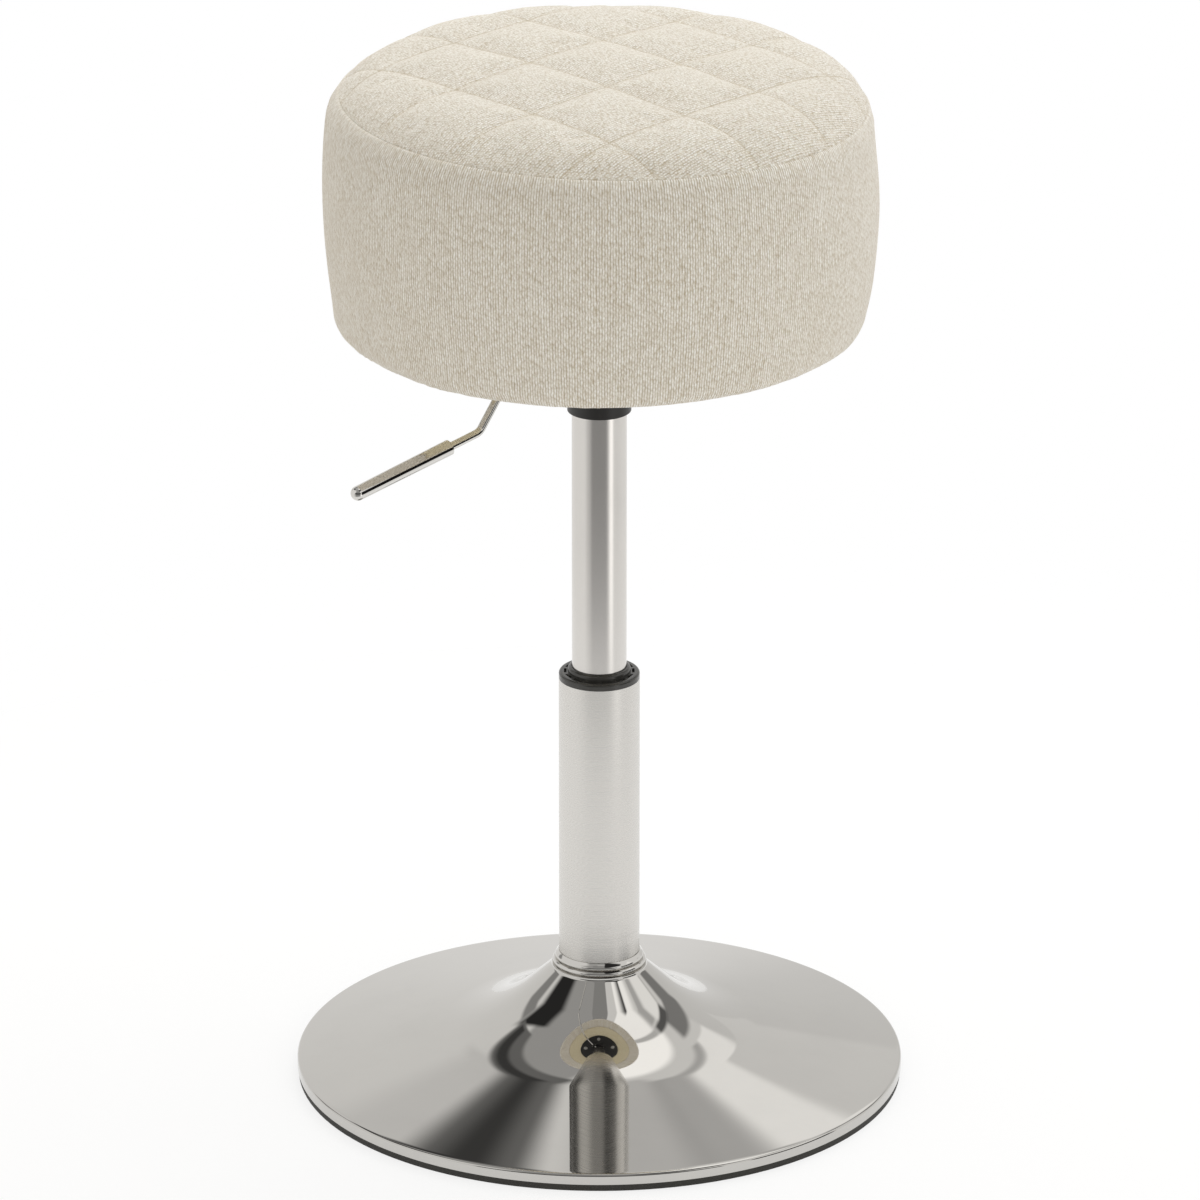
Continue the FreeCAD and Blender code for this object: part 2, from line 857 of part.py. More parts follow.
def seat_top_panel():
    outside, outside_end = crown_edges(0, seam_level)
    inside, inside_end = crown_edges(panel_thickness, seam_level)
    edges = outside + lines(outside_end, inside_end) + inside[::-1]
    panel = turned(edges + lines(on_crown(0, panel_thickness), on_crown(0, 0)))
    offsets = [(i - (quilt_lines - 1) / 2) * quilt_pitch for i in range(quilt_lines)]
    backing = crown_solid(channel_depth)
    channels = []
    for offset in offsets:
        channel = quilt_channel(offset).cut(backing)
        channels += [turned_to(channel, quilt_turn), turned_to(channel, quilt_turn + 90)]
    return panel.cut(channels)


def seat_side_cover():
    top = seam_level - soft_gap
    outside = corner_edges(0) + side_edges(0, corner_level, top)
    inside = corner_edges(cover_thickness) + side_edges(cover_thickness, corner_level, top)
    rim = lines(point(side_radius(top, 0), top), point(side_radius(top, cover_thickness), top))
    hem = lines(
        point(foot_edge, board_bottom),
        point(hem_radius, board_bottom),
        point(hem_radius, seat_bottom),
        point(foot_edge, seat_bottom),
    )
    return turned(outside + rim + inside[::-1] + hem).cut(staple_bodies())


def seat_foam():
    inset = cover_thickness + soft_gap
    top = seam_level - soft_gap
    bottom = board_bottom + soft_gap
    recess = board_radius + soft_gap
    crown, crown_end = crown_edges(panel_thickness + soft_gap, top)
    wall_top = point(side_radius(top, inset), top)
    edges = lines(
        point(0, board_top),
        point(recess, board_top),
        point(recess, bottom),
        point(foot_edge, bottom),
    )
    edges += corner_edges(inset) + side_edges(inset, corner_level, top)
    edges += lines(wall_top, crown_end) + crown[::-1]
    edges += lines(on_crown(0, panel_thickness + soft_gap), point(0, board_top))
    return turned(edges).cut(at_bolts(tee_nut_body(soft_gap)))


def seat_board():
    disc = rod(board_radius, board_bottom, board_top)
    return disc.cut(bolt_holes(board_bottom, board_top) + at_bolts(tee_nut_body(fit_gap)) + staple_bodies())


def seat_underside_cloth():
    disc = rod(hem_radius - soft_gap, seat_bottom, board_bottom)
    return disc.cut(bolt_holes(seat_bottom, board_bottom) + staple_bodies())


def staple_bodies():
    half = staple_crown_length / 2
    heights = (seat_bottom - staple_wire_thickness, seat_bottom + staple_leg_length)
    bridge = block((hem_radius - half, hem_radius + half), staple_wire_width, heights)
    inner_half = half - staple_wire_thickness
    inner_span = (hem_radius - inner_half, hem_radius + inner_half)
    space = block(inner_span, staple_wire_width, (seat_bottom, heights[1]))
    return around(bridge.cut(space), staple_count)


def seat_staples():
    return Part.makeCompound(staple_bodies())


nodes = [
    base_shell,
    base_gasket,
    base_weight,
    tube_foot,
    base_screws,
    outer_tube,
    column_collar,
    guide_bush,
    guide_ring,
    bearing_lower_race,
    bearing_cage,
    bearing_balls,
    piston_rod,
    bearing_upper_race,
    rod_washer,
    rod_clip,
    bump_stop,
    piston,
    piston_seal,
    gas_cylinder,
    rod_gland,
    gland_seal,
    valve_body,
    lift_socket,
    mount_plate,
    lever_bracket,
    lever_pivot_pin,
    mount_bolts,
    mount_washers,
    tee_nuts,
    seat_board,
    seat_foam,
    seat_side_cover,
    seat_top_panel,
    seat_underside_cloth,
    seat_staples,
    lever_rod,
    lever_hub,
    lever_grip,
    valve_pin,
]

os.makedirs("parts", exist_ok=True)
for build in nodes:
    shape = build()
    shape.exportStep("parts/" + build.__name__ + ".step")
    print(build.__name__, len(shape.Solids), round(shape.Volume, 1), shape.isValid())
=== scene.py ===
import math

import bmesh
import bpy
from mathutils import Matrix, Vector, noise
from mathutils.bvhtree import BVHTree


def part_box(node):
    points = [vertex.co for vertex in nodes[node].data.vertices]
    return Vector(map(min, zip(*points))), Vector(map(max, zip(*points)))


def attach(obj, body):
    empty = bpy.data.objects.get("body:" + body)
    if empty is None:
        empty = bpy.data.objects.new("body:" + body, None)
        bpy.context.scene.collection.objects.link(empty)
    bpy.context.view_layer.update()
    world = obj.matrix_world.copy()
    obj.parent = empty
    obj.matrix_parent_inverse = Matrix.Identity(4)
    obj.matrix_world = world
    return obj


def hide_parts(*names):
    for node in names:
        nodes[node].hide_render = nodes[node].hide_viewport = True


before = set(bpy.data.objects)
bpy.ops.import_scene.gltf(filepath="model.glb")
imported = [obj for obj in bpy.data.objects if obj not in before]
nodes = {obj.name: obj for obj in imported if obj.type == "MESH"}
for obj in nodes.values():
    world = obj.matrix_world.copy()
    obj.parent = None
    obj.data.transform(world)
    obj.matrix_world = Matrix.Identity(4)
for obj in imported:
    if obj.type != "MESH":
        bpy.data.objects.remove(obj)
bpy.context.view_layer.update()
print("frame loaded:", len(nodes), "nodes")


# Selection and edit-mode helpers

def clearSelection():
    active = bpy.context.view_layer.objects.active
    if active and active.mode != "OBJECT":
        bpy.ops.object.mode_set(mode="OBJECT")
    bpy.ops.object.select_all(action="DESELECT")


def takeUp(piece):
    clearSelection()
    piece.select_set(True)
    bpy.context.view_layer.objects.active = piece


def editAll(piece):
    takeUp(piece)
    bpy.ops.object.mode_set(mode="EDIT")
    bpy.ops.mesh.select_mode(type="VERT")
    bpy.ops.mesh.select_all(action="SELECT")


def pickPoints(piece, test):
    # leaves only the points that pass the test selected, with the edges between them
    mesh = bmesh.from_edit_mesh(piece.data)
    for v in mesh.verts:
        v.select = test(v)
    mesh.select_flush_mode()
    bmesh.update_edit_mesh(piece.data)


def pickRim():
    bpy.ops.mesh.select_all(action="DESELECT")
    bpy.ops.mesh.select_non_manifold(
        extend=False, use_wire=False, use_multi_face=False, use_non_contiguous=False
    )


def tidyMesh(piece, gap=1e-5):
    editAll(piece)
    bpy.ops.mesh.remove_doubles(threshold=gap)
    bpy.ops.mesh.normals_make_consistent(inside=False)
    bpy.ops.object.mode_set(mode="OBJECT")


def turnProfile(name, profile, steps):
    # one point extruded along the profile, then spun about the column's axis
    clearSelection()
    bpy.ops.mesh.primitive_plane_add(size=0.001, location=(0, 0, 0))
    piece = bpy.context.object
    piece.name = name
    editAll(piece)
    bpy.ops.mesh.merge(type="CENTER")
    radius, height = profile[0]
    bpy.ops.transform.translate(value=(radius, 0, height))
    for nextRadius, nextHeight in profile[1:]:
        step = (nextRadius - radius, 0, nextHeight - height)
        bpy.ops.mesh.extrude_region_move(TRANSFORM_OT_translate={"value": step})
        radius, height = nextRadius, nextHeight
    bpy.ops.mesh.select_all(action="SELECT")
    bpy.ops.mesh.spin(steps=steps, angle=2 * math.pi, center=(0, 0, 0), axis=(0, 0, 1))
    tidyMesh(piece)
    return piece


def smooth(piece, angle=40):
    takeUp(piece)
    bpy.ops.object.shade_smooth_by_angle(angle=math.radians(angle))


def applyModifier(piece, kind, **settings):
    takeUp(piece)
    bpy.ops.object.modifier_add(type=kind)
    modifier = piece.modifiers[-1]
    for key, value in settings.items():
        setattr(modifier, key, value)
    bpy.ops.object.modifier_apply(modifier=modifier.name)


def pinPoints(piece, name, points):
    group = piece.vertex_groups.new(name=name)
    group.add(sorted(points), 1.0, "REPLACE")


def inflate(piece, pins, fill):
    # the fabric swells between the points that are sewn or stapled down
    scene = bpy.context.scene
    before = [v.co.copy() for v in piece.data.vertices]
    takeUp(piece)
    bpy.ops.object.modifier_add(type="CLOTH")
    cloth = piece.modifiers[-1]
    cloth.settings.quality = fill["quality"]
    cloth.settings.mass = fill["mass"]
    cloth.settings.tension_stiffness = fill["stretch"]
    cloth.settings.compression_stiffness = fill["stretch"]
    cloth.settings.shear_stiffness = fill["shear"]
    cloth.settings.bending_stiffness = fill["bend"]
    cloth.settings.air_damping = fill["damping"]
    cloth.settings.use_pressure = True
    cloth.settings.uniform_pressure_force = fill["pressure"]
    cloth.settings.vertex_group_mass = pins
    cloth.settings.shrink_min = -fill["slack"]
    cloth.settings.effector_weights.gravity = 0
    cloth.collision_settings.use_collision = False
    cloth.point_cache.frame_start = 1
    cloth.point_cache.frame_end = fill["frames"]
    for number in range(1, fill["frames"] + 1):
        scene.frame_set(number)
    bpy.ops.object.modifier_apply(modifier=cloth.name)
    scene.frame_set(1)
    moved = 0
    for v, old in zip(piece.data.vertices, before):
        shift = v.co - old
        moved = max(moved, shift.length)
        if shift.length > fill["cap"]:
            v.co = old + shift.normalized() * fill["cap"]
    print(piece.name, "inflated, furthest point moved", round(moved * 1000, 2), "mm")


def smoothStep(low, high, value):
    t = min(1, max(0, (value - low) / (high - low)))
    return t * t * (3 - 2 * t)


# Cushion

cushion = {
    # the outline's arcs, from the crown's middle outwards and down: radius, and turn in degrees
    "arcs": (
        (1.262, 5.2),
        (0.1216, 14.0),
        (0.0479, 24.3),
        (0.0266, 40.4),
        (0.387, 6.1),
        (0.5, 16.0),
    ),
    "cornerHeight": 0.011,
    "cornerWidth": 0.008,
    "boardMargin": 0.010,
    "hemWidth": 0.024,
    "seamDrop": 0.0036,  # the seam lies this far below the built one, over the fabric
    "seamShift": (0.0049, 0.004),  # the top panel is sewn on a little off centre
    "seamFade": 0.09,
    "footSpread": 0.0024,  # the filling pushes the wall out on the right
}

sideLow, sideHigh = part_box("seat_side_cover")
topLow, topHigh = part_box("seat_top_panel")
seatFoot = sideLow.z
seamLevel = topLow.z
crownTop = topHigh.z


def onCushion(run):
    # radius, level and slope of the outline, this far over the fabric from the crown's middle
    radius, level, slope = 0.0, crownTop, 0.0
    for bend, turn in cushion["arcs"]:
        swept = min(run / bend, math.radians(turn))
        radius += bend * (math.sin(slope + swept) - math.sin(slope))
        level -= bend * (math.cos(slope) - math.cos(slope + swept))
        slope += swept
        run -= bend * swept
    return radius, level, slope


def runToLevel(level):
    low, high = 0.0, sum(bend * math.radians(turn) for bend, turn in cushion["arcs"])
    for _ in range(40):
        middle = (low + high) / 2
        if onCushion(middle)[1] > level:
            low = middle
        else:
            high = middle
    return low


seamRun = runToLevel(seamLevel) + cushion["seamDrop"]
cornerLevel = seatFoot + cushion["cornerHeight"]
cornerRun = runToLevel(cornerLevel)
footEdge = onCushion(cornerRun)[0] - cushion["cornerWidth"]
hemRadius = footEdge - cushion["boardMargin"] - cushion["hemWidth"]
panelMiddle = Vector(cushion["seamShift"] + (0,))


def onFabric(run, turn, depth=0.0):
    # the point this far over the fabric, towards a turn about the column, sunk below the outline
    radius, level, slope = onCushion(run)
    radius -= depth * math.sin(slope)
    level -= depth * math.cos(slope)
    return Vector((radius * math.cos(turn), radius * math.sin(turn), level))


def turnOf(point):
    return math.atan2(point.y, point.x)


def seamRunAt(turn):
    return seamRun + panelMiddle.x * math.cos(turn) + panelMiddle.y * math.sin(turn)


def tuckIn(piece, along, inward):
    # moves the picked points over the fabric and into the cushion
    mesh = bmesh.from_edit_mesh(piece.data)
    for v in mesh.verts:
        if v.select:
            turn = turnOf(v.co)
            slope = onCushion(seamRunAt(turn))[2]
            out = along * math.cos(slope) - inward * math.sin(slope)
            rise = -along * math.sin(slope) - inward * math.cos(slope)
            v.co += Vector((out * math.cos(turn), out * math.sin(turn), rise))
    bmesh.update_edit_mesh(piece.data)


quilt = {
    # pitch of the sewn lines each way, and their shift
    "lineSets": ((0.064, 0.0069), (0.067, 0.002)),
    "lines": 4,
    "cells": 20,  # mesh cells from line to line
    "reach": 3,  # half-width of the mesh, in pitches
    "depth": 0.0036,
    "rimEase": 0.6,  # how much shallower the lines run towards the seam
    "easeStart": 0.085,
    "loft": 0.0010,  # the filling stands this much higher round the shoulder
    "loftRise": (0.08, 0.125),
    "loftFall": (0.14, 0.163),
    "crossingDepth": 0.0006,
    "crossingReach": 0.012,
    "puffReach": 0.0105,
    "startShare": 0.86,  # how full the puffs are before they swell
    "edgeTuck": 0.0006,
    "edgeSink": 0.0005,
    "edgeReach": 0.003,
    "trimCuts": 120,
    "smallEdge": 0.0011,
    "lineCrease": 0.6,
    "onLine": 0.05,  # share of a mesh cell within which a point lies on a line
    # the rolled edge down into the seam: steps over the fabric and inwards
    "roll": ((0.0006, 0.0003), (0.0002, 0.0007), (-0.0006, 0.0012), (-0.0030, 0.0036)),
    "fill": {
        "quality": 7,
        "mass": 0.25,
        "stretch": 25,
        "shear": 12,
        "bend": 0.8,
        "damping": 4,
        "pressure": 3,
        "slack": 0.008,
        "frames": 20,
        "cap": 0.005,
    },
}
quiltLines = [
    [shift + (i - (quilt["lines"] - 1) / 2) * pitch for i in range(quilt["lines"])]
    for pitch, shift in quilt["lineSets"]
]
# across each set of lines
quiltWays = (Vector((1, 1, 0)).normalized(), Vector((-1, 1, 0)).normalized())


def lineDistances(flat):
    return [
        min(abs(flat.dot(way) - offset) for offset in lines)
        for way, lines in zip(quiltWays, quiltLines)
    ]


def quiltedTop():
    cells = [pitch / quilt["cells"] for pitch, _ in quilt["lineSets"]]
    count = 2 * quilt["reach"] * quilt["cells"]
    trimRadius = seamRun - quilt["edgeTuck"]
    clearSelection()
    bpy.ops.mesh.primitive_grid_add(
        x_subdivisions=count, y_subdivisions=count, size=count, rotation=(0, 0, math.pi / 4)
    )
    piece = bpy.context.object
    piece.name = "seatTopPanel"
    piece.scale = (cells[0], cells[1], 1)
    for way, (_, shift) in zip(quiltWays, quilt["lineSets"]):
        piece.location += way * shift
    bpy.ops.object.transform_apply(location=True, rotation=True, scale=True)
    editAll(piece)
    for i in range(quilt["trimCuts"]):
        angle = 2 * math.pi * (i + 0.5) / quilt["trimCuts"]
        out = Vector((math.cos(angle), math.sin(angle), 0))
        bpy.ops.mesh.select_all(action="SELECT")
        bpy.ops.mesh.bisect(
            plane_co=panelMiddle + out * trimRadius, plane_no=out, clear_outer=True, threshold=1e-6
        )
    bpy.ops.mesh.select_all(action="SELECT")
    bpy.ops.mesh.remove_doubles(threshold=quilt["smallEdge"])
    pickRim()
    bpy.ops.object.mode_set(mode="OBJECT")
    sewn = set()  # points on a sewn line
    held = set()  # points on the rim
    flatCloth = piece.data.attributes.new("flatCloth", "FLOAT_VECTOR", "POINT")
    share = quilt["startShare"]
    for v in piece.data.vertices:
        if v.select:
            held.add(v.index)
            v.co = panelMiddle + (v.co - panelMiddle).normalized() * trimRadius
        flat = v.co.copy()
        flatCloth.data[v.index].vector = flat
        near, far = sorted(lineDistances(flat))
        if near < min(cells) * quilt["onLine"]:
            sewn.add(v.index)
        puff = 1 - math.exp(-near / quilt["puffReach"])
        crossing = 1 - smoothStep(0, quilt["crossingReach"], math.hypot(near, far))
        ease = 1 - quilt["rimEase"] * smoothStep(quilt["easeStart"], trimRadius, flat.length)
        sink = ease * (quilt["depth"] * (1 - share * puff) + quilt["crossingDepth"] * crossing)
        rise = smoothStep(*quilt["loftRise"], flat.length)
        rise *= 1 - smoothStep(*quilt["loftFall"], flat.length)
        sink -= quilt["loft"] * rise
        edge = 1 - smoothStep(0, quilt["edgeReach"], trimRadius - (flat - panelMiddle).length)
        sink += (quilt["edgeSink"] - sink) * edge
        v.co = onFabric(flat.length, turnOf(flat), sink)
    pinPoints(piece, "sewn", sewn | held)
    print("quilted top laid out:", len(piece.data.vertices), "points")
    inflate(piece, "sewn", quilt["fill"])
    editAll(piece)
    pickPoints(piece, lambda v: v.index in sewn)
    bpy.ops.transform.edge_crease(value=quilt["lineCrease"])
    pickRim()
    for along, inward in quilt["roll"]:
        bpy.ops.mesh.extrude_edges_move(TRANSFORM_OT_translate={"value": (0, 0, 0)})
        tuckIn(piece, along, inward)
    bpy.ops.object.mode_set(mode="OBJECT")
    applyModifier(piece, "SUBSURF", levels=1, render_levels=1)
    editAll(piece)
    pickRim()
    bpy.ops.mesh.extrude_edges_move(TRANSFORM_OT_translate={"value": (0, 0, 0)})
    bpy.ops.mesh.merge(type="CENTER")
    tidyMesh(piece)
    smooth(piece, 60)
    return piece


wall = {
    "steps": 256,
    "rowStep": 0.0042,
    # the turned-in edge at the seam: how far below the seam, and how deep
    "turnIn": (
        (-0.0030, 0.0034),
        (-0.0012, 0.0016),
        (-0.0002, 0.0009),
        (0.0006, 0.0003),
        (0.0018, 0.0),
    ),
    "cornerRows": 7,
    "hemRowStep": 0.006,
    "thickness": 0.002,
    "startInset": 0.0004,
    "freeBelow": (0.002, 0.02),  # from the seam down, where the wall may begin to swell
    "freeAbove": 0.02,
    "footReach": 0.03,  # up to here the foot's edge wanders
    "edgeWander": 0.0012,
    "edgeWaves": 2.6,
    "wanderSeed": 4.1,
    "liftWaves": 4.42,
    "liftSeed": 9.7,
    "liftRise": (0.0005, 0.006),
    "spreadFade": (0.07, 0.13),
    "footDraw": 0.6,  # how much of the spread is drawn in again at the foot
    "fill": {
        "quality": 6,
        "mass": 0.3,
        "stretch": 30,
        "shear": 15,
        "bend": 1.5,
        "damping": 4,
        "pressure": 4,
        "slack": 0.004,
        "frames": 20,
        "cap": 0.004,
    },
}


def sideWall():
    places = list(wall["turnIn"])
    first = places[-1][0]
    length = cornerRun - seamRun
    rows = round((length - first) / wall["rowStep"])
    places += [(first + (length - first) * i / rows, 0.0) for i in range(1, rows + 1)]
    profile = [onFabric(seamRun + below, 0, depth).xz for below, depth in places]
    # the corner under the wall is part of an ellipse that goes on in the wall's direction
    lean = onCushion(cornerRun)[2] - math.pi / 2
    steep = cushion["cornerHeight"] / cushion["cornerWidth"] * math.tan(lean)
    start = math.asin(steep / (1 - steep))
    for i in range(1, wall["cornerRows"] + 1):
        turn = start + (math.pi / 2 - start) * i / wall["cornerRows"]
        across = footEdge + cushion["cornerWidth"] * math.cos(turn) / math.cos(start)
        level = seatFoot + cushion["cornerHeight"] * (1 - math.sin(turn)) / (1 - math.sin(start))
        profile.append(Vector((across, level)))
    hemRows = max(2, round((footEdge - hemRadius) / wall["hemRowStep"]))
    for i in range(1, hemRows + 1):
        profile.append(Vector((footEdge + (hemRadius - footEdge) * i / hemRows, seatFoot)))
    piece = turnProfile("seatSideCover", profile, wall["steps"])
    fixed = set()
    for v in piece.data.vertices:
        turn = turnOf(v.co)
        spot = Vector((v.co.xy.length, v.co.z))
        row = min(range(len(profile)), key=lambda i: (profile[i] - spot).length_squared)
        if row <= len(wall["turnIn"]) or row >= len(profile) - hemRows - 1:
            fixed.add(v.index)
        if row >= len(profile) - hemRows - 1:
            continue
        out = Vector((math.cos(turn), math.sin(turn), 0))
        fromFoot = v.co.z - seatFoot
        if row < len(places):
            below, depth = places[row]
            fade = 1 - smoothStep(0, cushion["seamFade"], below)
            v.co = onFabric(seamRun + below + (seamRunAt(turn) - seamRun) * fade, turn, depth)
            free = smoothStep(*wall["freeBelow"], below)
            free *= smoothStep(0, wall["freeAbove"], fromFoot)
            v.co -= out * wall["startInset"] * free
        low = 1 - smoothStep(0, wall["footReach"], fromFoot)
        wander = noise.noise(out * wall["edgeWaves"] + Vector((0, 0, wall["wanderSeed"])))
        v.co += out * wander * wall["edgeWander"] * low
        spreadShare = (1 - smoothStep(*wall["spreadFade"], fromFoot)) * (1 - wall["footDraw"] * low)
        v.co += out * cushion["footSpread"] * max(0, out.x) * spreadShare
        lift = noise.noise(out * wall["liftWaves"] + Vector((0, 0, wall["liftSeed"])))
        v.co.z += lift * wall["edgeWander"] * low * smoothStep(*wall["liftRise"], fromFoot)
    pinPoints(piece, "fixed", fixed)
    print("side wall laid out:", len(piece.data.vertices), "points")
    inflate(piece, "fixed", wall["fill"])
    applyModifier(piece, "SOLIDIFY", thickness=wall["thickness"], offset=-1, use_even_offset=False)
    smooth(piece, 60)
    return piece


underside = {
    "steps": 128,
    "rows": 18,
    "thickness": 0.0019,
    "roundEdge": 0.0007,
    "ripple": 0.00022,
    "rippleScale": 38,
    "rippleLift": 0.6,
    "rippleFade": (0.078, 0.09),  # none where the plate covers the cloth
    "edgeStep": 0.3,  # where the rounded edge's middle point lies
}


def undersideCloth():
    clothLow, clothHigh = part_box("seat_underside_cloth")
    edge = clothHigh.x
    low, high = clothLow.z, clothLow.z + underside["thickness"]
    bend = underside["roundEdge"]
    profile = [((edge - bend) * i / underside["rows"], low) for i in range(underside["rows"] + 1)]
    step = bend * underside["edgeStep"]
    profile += [(edge - step, low + step), (edge, low + bend)]
    profile += [(edge, high), (edge - bend, high), (0, high)]
    piece = turnProfile("seatUnderside", profile, underside["steps"])
    for v in piece.data.vertices:
        radius = math.hypot(v.co.x, v.co.y)
        if v.co.z < low + bend and radius > underside["rippleFade"][0]:
            swell = noise.noise(v.co * underside["rippleScale"]) + underside["rippleLift"]
            v.co.z -= underside["ripple"] * swell * smoothStep(*underside["rippleFade"], radius)
    smooth(piece, 50)
    return piece


stitch = {
    "length": 0.0027,
    "width": 0.0008,
    "height": 0.0006,
    "pitch": 0.0036,
    "sink": 0.0001,
    "edgeGap": 0.004,
    "middleShare": 0.3,  # this part of the length, to each side, is the stitch's middle
    "middleShape": (1, 1.1, 0.9),  # a wider and flatter middle, as thread lies
    "probe": (-0.01, 0.02),  # depths from which and to which the panel's face is looked for
}


def quiltStitches(panel):
    clearSelection()
    bpy.ops.mesh.primitive_uv_sphere_add(
        segments=8, ring_count=5, radius=0.5, rotation=(0, math.pi / 2, 0)
    )
    model = bpy.context.object
    model.scale = (stitch["height"], stitch["width"], stitch["length"])
    bpy.ops.object.transform_apply(location=True, rotation=True, scale=True)
    editAll(model)
    pickPoints(model, lambda v: abs(v.co.x) < stitch["length"] * stitch["middleShare"])
    bpy.ops.transform.resize(value=stitch["middleShape"])
    bpy.ops.object.mode_set(mode="OBJECT")
    face = BVHTree.FromObject(panel, bpy.context.evaluated_depsgraph_get())

    def onPanel(flat):
        outside, inside = [onFabric(flat.length, turnOf(flat), depth) for depth in stitch["probe"]]
        return face.ray_cast(outside, inside - outside)[:2]

    copies = []
    reach = seamRun - stitch["edgeGap"]
    for way, along, offsets in zip(quiltWays, quiltWays[::-1], quiltLines):
        for offset in offsets:
            count = int(2 * seamRun / stitch["pitch"])
            for i in range(-count, count + 1):
                flat = way * offset + along * (i * stitch["pitch"])
                if (flat - panelMiddle).length > reach:
                    continue
                start, _ = onPanel(flat - along * stitch["length"] / 2)
                end, up = onPanel(flat + along * stitch["length"] / 2)
                direction = (end - start).normalized()
                side = up.cross(direction).normalized()
                turned = Matrix((direction, side, direction.cross(side))).transposed().to_4x4()
                middle = (start + end) / 2 - up * stitch["sink"]
                copy = model.copy()
                copy.data = model.data.copy()
                copy.data.transform(Matrix.Translation(middle) @ turned)
                bpy.context.scene.collection.objects.link(copy)
                copies.append(copy)
    clearSelection()
    for copy in copies:
        copy.select_set(True)
    bpy.context.view_layer.objects.active = copies[0]
    bpy.ops.object.join()
    piece = bpy.context.object
    piece.name = "quiltStitches"
    bpy.data.objects.remove(model)
    smooth(piece, 60)
    print("stitches sewn:", len(copies))
    return piece


trumpet = {
    "steps": 288,
    "neckRadius": 0.030,
    "neckStraight": 0.0008,
    "neckBend": 0.002,
    "neckSlope": 42.0,
    "neckConeRadius": 0.047,
    "flare": 0.1132,
    "rimSlope": 11.6,
    "rimBend": 0.0021,
    "bandHeight": 0.005,
    "wall": 0.0015,
    "rows": (6, 48, 8),  # neck bend, flare, rim bend
    # rows of each cone, as shares of its length; the end ones keep the reflection even
    "coneRows": (0.02, 0.2, 0.5, 0.8, 0.98),
    "insideShare": 0.3,
}


def trumpetLine(inset, detail):
    low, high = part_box("base_shell")
    rim = math.radians(trumpet["rimSlope"])
    neck = math.radians(trumpet["neckSlope"])

    def onBend(centre, bend, angle):
        return centre - bend * Vector((math.sin(angle), math.cos(angle)))

    rimCentre = Vector((high.x - trumpet["rimBend"], low.z + trumpet["bandHeight"]))
    shoulder = onBend(rimCentre, -trumpet["rimBend"], rim)
    flareEdge = trumpet["neckConeRadius"] + trumpet["flare"] * (math.sin(neck) - math.sin(rim))
    flareFoot = Vector((flareEdge, shoulder.y + (shoulder.x - flareEdge) * math.tan(rim)))
    flareCentre = onBend(flareFoot, -trumpet["flare"], rim)
    neckOut = trumpet["neckRadius"] + trumpet["neckBend"]
    neckCentre = Vector((neckOut, high.z - trumpet["neckStraight"]))
    bends = (
        (neckCentre, trumpet["neckBend"] + inset, math.pi / 2, neck),
        (flareCentre, trumpet["flare"] + inset, neck, rim),
        (rimCentre, inset - trumpet["rimBend"], rim, math.pi / 2),
    )
    line = [Vector((trumpet["neckRadius"] - inset, high.z))]
    for number, (centre, bend, start, end) in enumerate(bends):
        count = max(2, round(trumpet["rows"][number] * detail))
        angles = [start + (end - start) * i / count for i in range(count + 1)]
        stretch = [onBend(centre, bend, angle) for angle in angles]
        if number:  # a cone runs from the last bend to this one
            line += [line[-1].lerp(stretch[0], share) for share in trumpet["coneRows"]]
        line += stretch
    line.append(Vector((high.x - inset, low.z)))
    return [tuple(place) for place in line]


def trumpetBase():
    outside = trumpetLine(0, 1)
    inside = trumpetLine(trumpet["wall"], trumpet["insideShare"])
    piece = turnProfile("trumpetBase", outside + inside[::-1] + outside[:1], trumpet["steps"])
    smooth(piece, 35)
    return piece


collar = {
    "steps": 192,
    "lowerRadius": 0.0296,
    "upperRadius": 0.0280,
    "bulge": 0.0009,
    "beadHeight": 0.0034,
    "beadRows": 12,
    "spigot": 0.0060,
    "spigotRadius": 0.02845,
    "bore": 0.02555,
    "topLip": 0.0004,
}


def columnCollar():
    low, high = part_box("column_collar")
    foot = low.z + collar["spigot"]
    line = [(collar["bore"], high.z), (collar["bore"], low.z), (collar["spigotRadius"], low.z)]
    line.append((collar["spigotRadius"], foot))
    for number, radius in enumerate((collar["lowerRadius"], collar["upperRadius"])):
        start = foot + number * collar["beadHeight"]
        for i in range(collar["beadRows"] + 1):
            turn = 2 * i / collar["beadRows"] - 1
            out = radius - collar["bulge"] * turn**2
            line.append((out, start + collar["beadHeight"] * i / collar["beadRows"]))
    line.append((collar["bore"] + collar["topLip"], high.z))
    line.append(line[0])
    piece = turnProfile("collarRing", line, collar["steps"])
    smooth(piece, 35)
    return piece


# Shader arithmetic

class Wire:
    # a shader socket that takes plain arithmetic
    def __init__(self, tree, socket=None):
        self.tree = tree
        self.socket = socket

    def node(self, kind, settings=None, sockets=None, out=0):
        made = self.tree.nodes.new(kind)
        for key, value in (settings or {}).items():
            setattr(made, key, value)
        for key, value in (sockets or {}).items():
            if isinstance(value, Wire):
                self.tree.links.new(value.socket, made.inputs[key])
            else:
                made.inputs[key].default_value = value
        return Wire(self.tree, made.outputs[out] if made.outputs else None)

    def other(self, out):
        return Wire(self.tree, self.socket.node.outputs[out])

    def maths(self, operation, *values):
        return self.node("ShaderNodeMath", {"operation": operation}, dict(enumerate(values)))

    def __add__(self, other):
        return self.maths("ADD", self, other)

    def __sub__(self, other):
        return self.maths("SUBTRACT", self, other)

    def __rsub__(self, other):
        return self.maths("SUBTRACT", other, self)

    def __mul__(self, other):
        return self.maths("MULTIPLY", self, other)

    def __rmul__(self, other):
        return self.maths("MULTIPLY", other, self)

    def __truediv__(self, other):
        return self.maths("DIVIDE", self, other)


